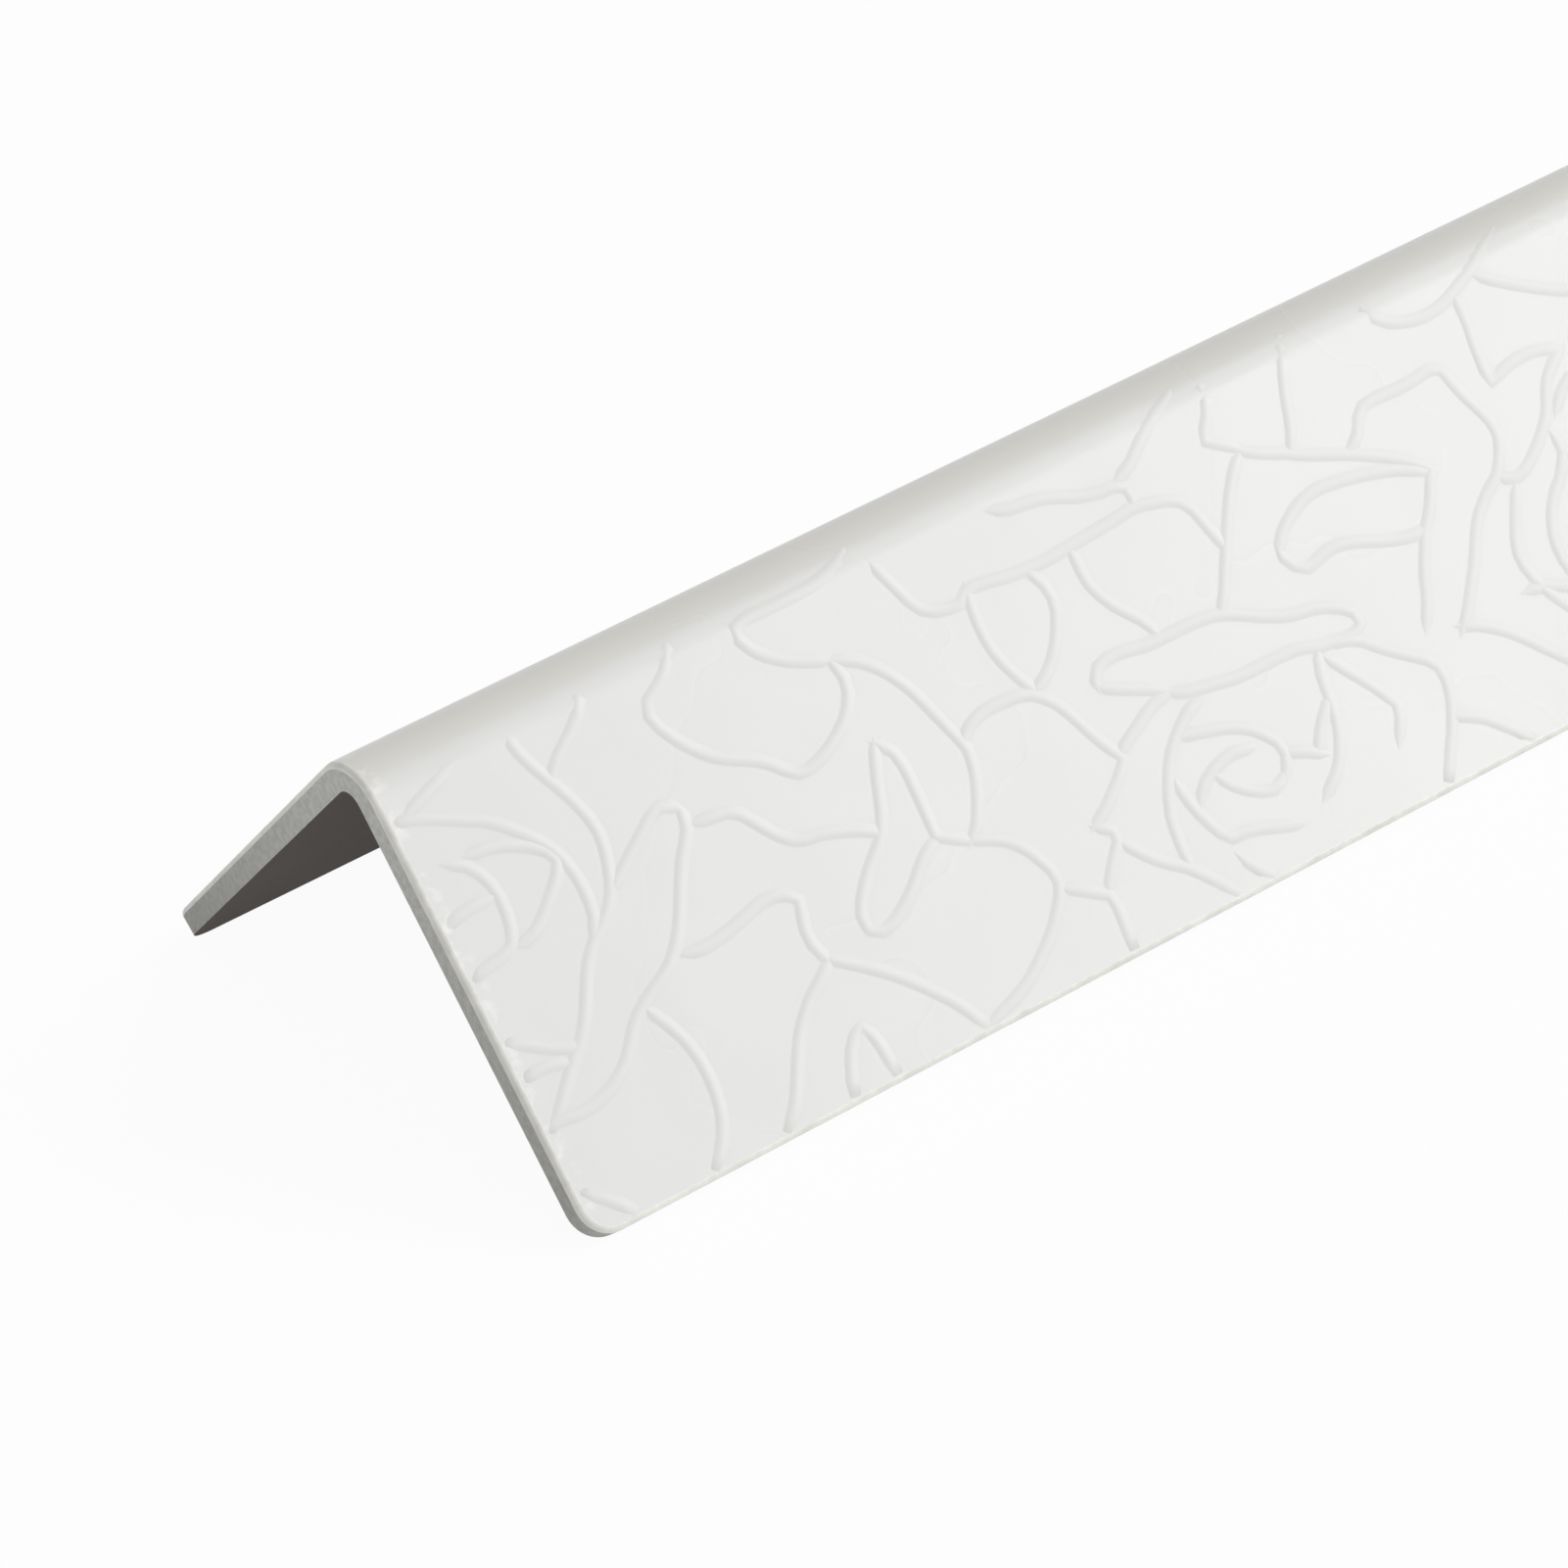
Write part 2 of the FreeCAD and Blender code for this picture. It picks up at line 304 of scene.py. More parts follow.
class ReliefSizes(PropertyGroup):
    """Sizes of the embossed pattern"""

    repeat: length("Repeat", "Length after which the pattern starts again", 120.0 * MM)
    half_width: length("Half width", "From a stroke's middle to its foot", 0.58 * MM)
    height: length("Height", "Of a stroke, from its foot to its crown", 0.034 * MM)
    foot_depth: length("Foot depth", "How far a stroke's foot is under the face", 0.005 * MM)
    spacing: length("Spacing", "Between the sections along a stroke", 0.85 * MM)
    overlap: length("Overlap", "Added to both ends of a stroke, so that strokes meet", 0.5 * MM)
    taper: length("Taper", "Length over which a stroke's end comes to a point", 0.8 * MM)
    fade_start: length(
        "Ridge fade start", "Where a stroke that climbs to the ridge is gone", 1.0 * MM)
    fade_end: length("Ridge fade end", "Where that stroke has its full size", 3.2 * MM)
    left_fade: length(
        "Left fade", "The left flange's strokes fade this much further down", 1.5 * MM)
    rim_fade: length(
        "Rim fade", "Over this distance from the rim a stroke sinks in", 1.1 * MM)
    end_fade: length(
        "End fade", "Over this distance from a cut end a stroke sinks in", 1.9 * MM)
    past_end: length(
        "Past the end", "How far strokes run past the ends before they are cut", 1.3 * MM)
    section_points: IntProperty(
        name="Section points", description="Points across a stroke's rounded top", default=9,
        min=5, max=24)


class FinishSettings(PropertyGroup):
    """Colours and gloss of the plastic"""

    face_colour: colour("Face", "Embossed outer face", (0.81, 0.81, 0.805))
    # painted shade: a warm tint where the ridge turns away from the light
    ridge_shade_tint: colour(
        "Ridge tint", "Multiplied with the face's colour on the ridge", (1.0, 0.985, 0.93))
    # painted highlight: the rounded rim is made paler, as if lit along its rounding
    rim_highlight_colour: colour("Rim", "Rounded rim of the outer face, rubbed paler", (0.97, 0.96, 0.91))
    # partly the greyer core of the cut and partly painted shade on the ends, which face away from
    # the light
    cut_core_and_shade_colour: colour("Cut end", "Sawn ends", (0.58, 0.58, 0.55))
    # painted shade: the inner faces are coloured as dark as their deep shade under the ridge
    back_shade_colour: colour("Back", "Inner faces, the side towards the wall", (0.10, 0.085, 0.075))
    face_gloss: share("Face gloss", "How strongly the outer face mirrors", 0.5)
    face_roughness: share("Face roughness", "Of the embossed outer face", 0.28)
    stroke_roughness: share("Stroke roughness", "Of the raised strokes", 0.36)
    # painted shade at a stroke's feet and a painted highlight on its crown
    painted_foot_shade: share("Foot shade", "How much darker a raised stroke's feet are", 0.02)
    painted_crown_highlight: share("Crown shade", "How much paler a raised stroke's crown is", 0.015)


class StageSettings(PropertyGroup):
    """Floor, light and camera"""

    floor_size: length("Floor size", "Side of the square floor", 60.0)
    floor_colour: colour("Floor", "Plain pale floor", (0.95, 0.95, 0.95))
    floor_white: share("White floor", "How much of the floor that the camera sees is white", 0.95)
    key_strength: strength("Key light", "Strength of the main light", 1.06)
    key_spread: angle("Key spread", "How wide the main light looks from the moulding", 28.0)
    key_from: direction("Key from", "Where the main light shines from", (0.66, -0.565, 0.495))
    upper_strength: strength("Upper light", "Strength of the light over the main one", 0.68)
    upper_spread: angle("Upper spread", "How wide the upper light looks", 34.0)
    upper_from: direction("Upper from", "Where the upper light shines from", (0.69, -0.22, 0.69))
    ridge_strength: strength("Ridge light", "Strength of the light along the ridge", 0.3)
    ridge_spread: angle("Ridge spread", "How wide the light along the ridge looks", 30.0)
    ridge_from: direction(
        "Ridge from", "Where the light along the ridge shines from", (0.80, 0.18, 0.57))
    fill_strength: strength("Fill light", "Strength of the light on the cut end", 0.37)
    fill_spread: angle("Fill spread", "How wide the light on the cut end looks", 60.0)
    fill_from: direction(
        "Fill from", "Where the light on the cut end shines from", (-0.55, -0.45, 0.70))
    surround: strength("Surround", "Strength of the even light from all sides", 0.262)
    camera_place: FloatVectorProperty(
        name="Camera place", description="Where the camera stands",
        default=(-0.69253, -0.29958, 0.27112), subtype="TRANSLATION", unit="LENGTH",
        precision=5)
    camera_azimuth: angle("Azimuth", "Side that the camera looks from", -36.499)
    camera_elevation: angle("Elevation", "Height that the camera looks from", 35.334)
    camera_roll: angle("Roll", "Turn of the camera about its own view", -3.446)
    lens: FloatProperty(
        name="Lens", description="Focal length on a 36 mm sensor", default=185.314,
        unit="CAMERA")


def add_node(tree, kind, inputs=None, **settings):
    """A node of this kind with its settings, and values or links on its inputs.

    The inputs are keyed by name or by number.
    """
    node = tree.nodes.new(kind)
    for name, value in settings.items():
        setattr(node, name, value)
    for key, value in (inputs or {}).items():
        socket = node.inputs[key]
        if isinstance(value, bpy.types.NodeSocket):
            tree.links.new(value, socket)
        else:
            socket.default_value = value
    return node


class Sums:
    """Short names for the sums of a node tree."""

    def __init__(self, tree):
        self.tree = tree

    def math(self, operation, *values, **settings):
        inputs = dict(enumerate(values))
        node = add_node(self.tree, "ShaderNodeMath", inputs, operation=operation, **settings)
        return node.outputs[0]

    add, take = partialmethod(math, "ADD"), partialmethod(math, "SUBTRACT")
    times, over = partialmethod(math, "MULTIPLY"), partialmethod(math, "DIVIDE")
    least, most = partialmethod(math, "MINIMUM"), partialmethod(math, "MAXIMUM")
    size, root = partialmethod(math, "ABSOLUTE"), partialmethod(math, "SQRT")
    sine, cosine = partialmethod(math, "SINE"), partialmethod(math, "COSINE")

    def ramp(self, value, low, high, start=0.0, end=1.0):
        """A smooth step of the value from start at low to end at high."""
        node = add_node(
            self.tree, "ShaderNodeMapRange",
            {"Value": value, "From Min": low, "From Max": high, "To Min": start, "To Max": end},
            interpolation_type="SMOOTHSTEP")
        return node.outputs["Result"]


def lay_out(tree):
    """Set the nodes in rows, so that the tree can be read."""
    for number, node in enumerate(tree.nodes):
        node.location = (220 * (number % 12), -280 * (number // 12))


def split(tree, vector):
    """Nodes: a vector's X, Y and Z."""
    return add_node(tree, "ShaderNodeSeparateXYZ", {"Vector": vector}).outputs


def joined(tree, **parts):
    """Nodes: a vector from its X, Y and Z."""
    return add_node(tree, "ShaderNodeCombineXYZ", parts).outputs[0]


def made_by(tree, kind, inputs=None, **settings):
    """Nodes: the first output of a geometry node of this kind."""
    return add_node(tree, "GeometryNode" + kind, inputs, **settings).outputs[0]


def point_place(tree):
    """Nodes: the X, Y and Z of each point of the geometry."""
    return split(tree, made_by(tree, "InputPosition"))


def object_place(tree):
    """Nodes: the place on the moulding, in metres."""
    return add_node(tree, "ShaderNodeTexCoord").outputs["Object"]


def noise(tree, place, scale, detail, **more):
    """Nodes: soft noise from 0 to 1, with this many spots to a metre."""
    return add_node(tree, "ShaderNodeTexNoise", {
        "Vector": place, "Scale": scale, "Detail": detail, **more}).outputs["Fac"]


def base_colour(material):
    """The socket that takes the colour of the material's shader."""
    return material.node_tree.nodes["Principled BSDF"].inputs["Base Color"]


def vinyl(name, base, roughness, grain, depth, streaks=(1.0, 1.0, 1.0), gloss=0.5):
    """Satin plastic: a little uneven in colour and gloss, with a fine grain and a faint wave.

    grain and depth are the grain's size and depth in metres. streaks stretches it along X, Y
    and Z.
    """
    material = bpy.data.materials.new(name)
    material.use_nodes = True
    tree = material.node_tree
    shader = tree.nodes["Principled BSDF"]
    shader.inputs["IOR"].default_value = PVC_IOR
    shader.inputs["Specular IOR Level"].default_value = gloss
    place = object_place(tree)

    # broad clouds, a little darker and warmer than the rest
    cloud_scale, cloud_low, cloud_high = 45.0, 0.15, 0.85
    clouds = noise(tree, place, cloud_scale, 3.0, Roughness=0.55)
    tint = add_node(tree, "ShaderNodeValToRGB", {"Fac": clouds})
    low, high = tint.color_ramp.elements
    low.position, high.position = cloud_low, cloud_high
    red, green, blue = base
    low.color = (red * 0.975, green * 0.975, blue * 0.965, 1.0)
    high.color = (red, green, blue, 1.0)
    tree.links.new(tint.outputs["Color"], shader.inputs["Base Color"])

    uneven = 0.04
    rough = add_node(tree, "ShaderNodeMapRange", {
        "Value": clouds, "From Min": cloud_low, "From Max": cloud_high,
        "To Min": roughness - uneven, "To Max": roughness + uneven})
    tree.links.new(rough.outputs["Result"], shader.inputs["Roughness"])

    grain_place = add_node(tree, "ShaderNodeMapping", {
        "Vector": place, "Scale": streaks}).outputs["Vector"]
    grained = add_node(tree, "ShaderNodeBump", {
        "Height": noise(tree, grain_place, 1.0 / grain, 2.0), "Strength": 1.0,
        "Distance": depth})
    wave_scale, wave_depth = 110.0, 0.05 * MM
    waved = add_node(tree, "ShaderNodeBump", {
        "Height": noise(tree, place, wave_scale, 1.0), "Strength": 1.0,
        "Distance": wave_depth, "Normal": grained.outputs["Normal"]})
    tree.links.new(waved.outputs["Normal"], shader.inputs["Normal"])
    lay_out(tree)
    return material


def multiply_colour(material, factor):
    """Put a factor, a node's output, on the colour that the material's shader takes."""
    tree, socket = material.node_tree, base_colour(material)
    scaled = add_node(
        tree, "ShaderNodeVectorMath", {"Vector": socket.links[0].from_socket, "Scale": factor},
        operation="SCALE")
    tree.links.new(scaled.outputs["Vector"], socket)
    lay_out(tree)


def paint_stroke_shade_and_highlight(material, painted_foot_shade, painted_crown_highlight):
    """Painted shade along both feet of a raised stroke, and a painted highlight on its crown."""
    tree = material.node_tree
    sums = Sums(tree)
    across, size = (
        add_node(tree, "ShaderNodeAttribute", attribute_name=name).outputs["Fac"]
        for name in (ACROSS, SIZE))
    off_middle = sums.size(across)
    # from 0 at a stroke's middle to 1 at its feet
    # painted shade in the crease along each foot, and a painted highlight on the crown
    crease_shade_from, crease_shade_full, crease_shade_until, crease_shade_gone = 0.25, 0.55, 0.6, 0.95
    highlight_until, highlight_gone = 0.05, 0.45
    foot = sums.times(
        sums.ramp(off_middle, crease_shade_from, crease_shade_full),
        sums.ramp(off_middle, crease_shade_until, crease_shade_gone, 1.0, 0.0))
    crown = sums.ramp(off_middle, highlight_until, highlight_gone, 1.0, 0.0)
    change = sums.take(sums.times(crown, painted_crown_highlight), sums.times(foot, painted_foot_shade))
    # thin strokes get no painted shade or highlight
    thin, broad = 0.1, 0.8
    whole = sums.times(change, sums.ramp(size, thin, broad))
    multiply_colour(material, sums.add(whole, 1.0))
    return material


def mix_colour(material, share_of, colour_of, blend):
    """Blend a colour into the one that the shader takes, by a share that is a node's output."""
    tree, socket = material.node_tree, base_colour(material)
    blended = add_node(
        tree, "ShaderNodeMix",
        {MIX_SHARE: share_of, MIX_FIRST: socket.links[0].from_socket,
         MIX_SECOND: (*colour_of, 1.0)}, data_type="RGBA", blend_type=blend)
    tree.links.new(blended.outputs[MIXED], socket)
    lay_out(tree)


def paint_ridge_shade_and_chips(material, sizes, finish):
    """A painted warm shade on the ridge, where it turns from the light, and pale chips along the
    saw cuts that are partly painted glints.
    """
    tree = material.node_tree
    sums = Sums(tree)
    place = object_place(tree)
    parts = split(tree, place)
    # painted warm shade on the ridge
    ridge_shade_until, ridge_shade_gone = 0.1 * sizes.ridge_radius, 0.72 * sizes.ridge_radius
    ridge = sums.ramp(sums.size(parts["Y"]), ridge_shade_until, ridge_shade_gone, 1.0, 0.0)
    mix_colour(material, ridge, finish.ridge_shade_tint, "MULTIPLY")

    # pale chips near the cut ends, partly chipped film and partly painted glints, in the rim's
    # highlight colour
    chip_size, full_until, gone_at, most_chips = 0.9 * MM, 0.2 * MM, 1.6 * MM, 0.75
    spots = noise(tree, place, 1.0 / chip_size, 3.0)
    from_end = sums.take(sizes.stock_length / 2, sums.size(parts["X"]))
    at_end = sums.ramp(from_end, full_until, gone_at, most_chips, 0.0)
    no_chip, whole_chip = 0.48, 0.68
    chips = sums.times(at_end, sums.ramp(spots, no_chip, whole_chip))
    mix_colour(material, chips, finish.rim_highlight_colour, "MIX")
    return material


def speckle(material, size, low, high):
    """Irregular paler and darker spots of this size in metres."""
    tree = material.node_tree
    spots = noise(tree, object_place(tree), 1.0 / size, 2.0)
    dark_spot, pale_spot = 0.3, 0.7
    multiply_colour(material, Sums(tree).ramp(spots, dark_spot, pale_spot, low, high))
    return material


def paint_cut_end_shade(material, half_width):
    """Painted shade: darker towards the free edges, near the floor, and lighter towards the ridge.
    """
    tree = material.node_tree
    sums = Sums(tree)
    off_middle = sums.size(split(tree, object_place(tree))["Y"])
    at_ridge, shaded_at_edge = 1.12, 0.84
    multiply_colour(material, sums.ramp(off_middle, 0.0, half_width, at_ridge, shaded_at_edge))
    return material


def finish_named(name):
    """One of the moulding's finishes, made when it is first asked for."""
    ready = bpy.data.materials.get(name)
    if ready:
        return ready
    finish = bpy.context.scene.moulding_finish
    face, rough, gloss = finish.face_colour, finish.face_roughness, finish.face_gloss
    sizes = bpy.context.scene.moulding_sizes
    smooth = 0.0015 * MM
    if name == "embossed_face":
        plain = vinyl(name, face, rough, grain=0.25 * MM, depth=smooth, gloss=gloss)
        return paint_ridge_shade_and_chips(plain, sizes, finish)
    if name == "raised_stroke":
        plain = vinyl(
            name, face, finish.stroke_roughness, grain=0.25 * MM, depth=smooth, gloss=gloss)
        paint_stroke_shade_and_highlight(plain, finish.painted_foot_shade, finish.painted_crown_highlight)
        return paint_ridge_shade_and_chips(plain, sizes, finish)
    if name == "plain_edge":
        return vinyl(name, face, rough, grain=0.3 * MM, depth=smooth)
    if name == "worn_rim":
        # painted highlight along the rounded rim, with irregular paler and darker spots
        highlit_rim_finish = vinyl(name, finish.rim_highlight_colour, rough, grain=0.6 * MM, depth=0.05 * MM)
        return speckle(highlit_rim_finish, size=1.3 * MM, low=0.90, high=1.03)
    if name == "sawn_end":
        # the sawn ends get painted shade, darker towards the free edges
        cut = vinyl(
            name, finish.cut_core_and_shade_colour, roughness=0.62, grain=0.12 * MM, depth=0.010 * MM,
            streaks=(1.0, 0.35, 1.6))
        return speckle(
            paint_cut_end_shade(cut, CAD_HIGH.y), size=0.45 * MM, low=0.90, high=1.08)
    if name == "back_face":
        # the inner faces are painted as dark as their shade
        return vinyl(
            name, finish.back_shade_colour, roughness=0.75, grain=0.3 * MM, depth=0.006 * MM,
            streaks=(0.06, 1.0, 1.0), gloss=0.2)
    raise RuntimeError("there is no finish named " + name)


def section_points(sizes):
    """The section's outline as (kind, y, z), with the kind of face that starts at each point.

    It runs over the ridge from the right flange, which lies on -Y, and back through the hollow.
    """
    half = sizes.flange_angle / 2
    sine, cosine = math.sin(half), math.cos(half)
    top = sizes.flange_width * cosine + sizes.wall_at_edge * sine
    hollow = top - sizes.wall_at_ridge / sine
    outer = (sizes.flange_width * sine, sizes.wall_at_edge * sine)
    inner = (outer[0] - sizes.wall_at_edge * cosine, 0.0)
    inner_half = math.atan2(inner[0], hollow)

    def arc(corner, corner_half, radius, steps):
        """Rounding of a corner on the Z axis, from the right side to the left."""
        middle = corner - radius / math.sin(corner_half)
        sweep = math.pi / 2 - corner_half
        for step in range(steps + 1):
            turn = sweep * (2 * step / steps - 1)
            yield radius * math.sin(turn), middle + radius * math.cos(turn)

    points = [("face", -outer[0], outer[1])]
    points += [("face", y, z) for y, z in arc(top, half, sizes.ridge_radius, RIDGE_STEPS)]
    points += [("edge", outer[0], outer[1]), ("back", *inner)]
    points += [("back", y, z) for y, z in
               reversed(list(arc(hollow, inner_half, sizes.inner_radius, HOLLOW_STEPS)))]
    points += [("edge", -inner[0], inner[1])]
    return points


FACE_KINDS = ("face", "end", "edge", "back", "rim")
FINISH_OF_KIND = ("embossed_face", "sawn_end", "plain_edge", "back_face", "worn_rim")


def make_body_mesh(sizes):
    """The angle section drawn out along X, with rounded end corners and a rounded rim."""
    outline = section_points(sizes)
    half_length = sizes.stock_length / 2
    work = bmesh.new()
    near = [work.verts.new((-half_length, y, z)) for kind, y, z in outline]
    far = [work.verts.new((half_length, y, z)) for kind, y, z in outline]
    for ends in (near, far):
        work.faces.new(ends).material_index = FACE_KINDS.index("end")
    count = len(outline)
    for number, (kind, y, z) in enumerate(outline):
        after = (number + 1) % count
        side = work.faces.new((near[number], far[number], far[after], near[after]))
        side.material_index = FACE_KINDS.index(kind)
    bmesh.ops.recalc_face_normals(work, faces=work.faces[:])

    def edges_between(first, others):
        """The edges where a face of the first kind meets one of the others."""
        wanted = [{FACE_KINDS.index(first), FACE_KINDS.index(other)} for other in others]
        return [edge for edge in work.edges
                if {face.material_index for face in edge.link_faces} in wanted]

    def round_off(edges, radius, steps, kind):
        bmesh.ops.bevel(
            work, geom=edges, offset=radius, offset_type="OFFSET", segments=steps, profile=0.5,
            affect="EDGES", material=FACE_KINDS.index(kind))

    round_off(edges_between("end", ["edge"]), sizes.end_corner_radius, CORNER_STEPS, "end")
    round_off(edges_between("face", ["end", "edge"]), sizes.rim_radius, RIM_STEPS, "rim")
    bmesh.ops.remove_doubles(work, verts=work.verts[:], dist=1e-7)

    mesh = bpy.data.meshes.new("corner_guard_moulding")
    work.to_mesh(mesh)
    work.free()
    for name in FINISH_OF_KIND:
        mesh.materials.append(finish_named(name))
    return mesh


def placed(name, data):
    """A new object with this data, linked to the scene."""
    item = bpy.data.objects.new(name, data)
    bpy.context.scene.collection.objects.link(item)
    return item


class MOULDING_OT_body(Operator):
    """Make the plain moulding: two flanges, the rounded ridge and the cut ends"""

    bl_idname = "moulding.body"
    bl_label = "Moulding body"

    def execute(self, context):
        mesh = make_body_mesh(context.scene.moulding_sizes)
        if len(mesh.polygons) < len(FACE_KINDS):
            raise RuntimeError("the body of the moulding has no faces")
        mesh.shade_smooth()
        mesh.set_sharp_from_angle(angle=SHARP_EDGE)
        body = placed("moulding_body", mesh)
        steady = body.modifiers.new("steady_shading", "WEIGHTED_NORMAL")
        steady.mode = "FACE_AREA"
        steady.weight = 90
        steady.keep_sharp = True
        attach(body, "root")
        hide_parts("corner_guard")
        return {"FINISHED"}


def lengthened(stroke, extra):
    """The stroke's points in metres, with both ends carried straight on by extra."""
    points = [Vector((along / TENTHS * MM, across / TENTHS * MM, 0.0))
              for along, across in zip(stroke[::2], stroke[1::2])]
    first, last = points[0] - points[1], points[-1] - points[-2]
    points[0] = points[0] + first.normalized() * extra
    points[-1] = points[-1] + last.normalized() * extra
    return points


def make_stroke_lines(overlap):
    """The pattern's strokes as open lines in one flat curve."""
    lines = bpy.data.curves.new("pattern_lines", "CURVE")
    lines.dimensions = "3D"
    for stroke in PATTERN:
        spline = lines.splines.new("POLY")
        places = lengthened(stroke, overlap)
        spline.points.add(len(places) - 1)
        for point, place in zip(spline.points, places):
            point.co = (*place, 1.0)
    return placed("pattern_lines", lines)


# kinds of the tree's inputs that aren't plain numbers with a point
KIND_OF_INPUT = {
    "Lines": "NodeSocketObject", "Count": "NodeSocketInt", "Section Points": "NodeSocketInt",
    "Finish": "NodeSocketMaterial",
}


def repeated_lines(tree, given):
    """Nodes: the strokes as smooth lines, repeated along the moulding and cut at its ends."""
    sums = Sums(tree)
    source = add_node(tree, "GeometryNodeObjectInfo", {"Object": given["Lines"]})
    smooth = made_by(
        tree, "CurveSplineType", {"Curve": source.outputs["Geometry"]},
        spline_type="CATMULL_ROM")
    even = made_by(
        tree, "ResampleCurve", {"Curve": smooth, "Length": given["Spacing"]}, mode="LENGTH")

    step = joined(tree, X=given["Repeat"])
    start = joined(tree, X=sums.times(given["Repeat"], -1.0))
    row = made_by(
        tree, "MeshLine", {"Count": given["Count"], "Start Location": start, "Offset": step},
        mode="OFFSET")
    copies = made_by(tree, "InstanceOnPoints", {"Points": row, "Instance": even})
    lines = made_by(tree, "RealizeInstances", {"Geometry": copies})

    along = point_place(tree)["X"]
    low, high = sums.times(given["Past End"], -1.0), sums.add(given["Length"], given["Past End"])
    before = sums.math("LESS_THAN", along, low)
    after = sums.math("GREATER_THAN", along, high)
    inside = made_by(
        tree, "DeleteGeometry", {"Geometry": lines, "Selection": sums.most(before, after)},
        domain="POINT")
    shortest = 1.5 * MM
    short = sums.math("LESS_THAN", made_by(tree, "SplineLength"), shortest)
    return made_by(
        tree, "DeleteGeometry", {"Geometry": inside, "Selection": short}, domain="CURVE")


def store_number(tree, geometry, name, value):
    """Nodes: the geometry with this value kept on its points."""
    return made_by(
        tree, "StoreNamedAttribute", {"Geometry": geometry, "Name": name, "Value": value},
        data_type="FLOAT", domain="POINT")


def stroke_section(tree, given):
    """Nodes: the section of a stroke, a low rounded hump with a flat foot."""
    sums = Sums(tree)
    line = made_by(
        tree, "CurvePrimitiveLine", {"Start": (-1.0, 0.0, 0.0), "End": (1.0, 0.0, 0.0)})
    dotted = made_by(
        tree, "ResampleCurve", {"Curve": line, "Count": given["Section Points"]}, mode="COUNT")
    across = point_place(tree)["X"]
    marked = store_number(tree, dotted, ACROSS, across)
    wave = sums.cosine(sums.times(across, math.pi))
    hump = sums.math("MULTIPLY_ADD", wave, 0.5, 0.5)
    depth = sums.take(given["Foot Depth"], sums.times(hump, given["Height"]))
    shaped = joined(tree, X=sums.times(across, given["Half Width"]), Y=depth)
    moved = made_by(tree, "SetPosition", {"Geometry": marked, "Position": shaped})
    return made_by(tree, "SetSplineCyclic", {"Geometry": moved, "Cyclic": True})


def swept_strokes(tree, given, lines):
    """Nodes: the section swept along the lines, thinner at their ends and near the ridge."""
    sums = Sums(tree)
    passed = add_node(tree, "GeometryNodeSplineParameter").outputs["Length"]
    total = made_by(tree, "SplineLength")
    nearest = sums.least(passed, sums.take(total, passed))
    left = sums.math("SUBTRACT", 1.0, sums.over(nearest, given["Taper"]), use_clamp=True)
    rounded = sums.root(sums.math("SUBTRACT", 1.0, sums.times(left, left)))

    # a stroke that climbs to the ridge thins out, and none is thinner than the least
    at_ridge, least = 0.12, 0.06
    climb = sums.ramp(
        point_place(tree)["Y"], given["Fade Start"], given["Fade End"], at_ridge, 1.0)
    thickness = sums.most(sums.times(rounded, climb), least)

    marked = store_number(tree, lines, SIZE, thickness)
    upright = made_by(tree, "SetCurveNormal", {"Curve": marked}, mode="Z_UP")
    return made_by(
        tree, "CurveToMesh",
        {"Curve": upright, "Profile Curve": stroke_section(tree, given),
         "Scale": thickness, "Fill Caps": True})


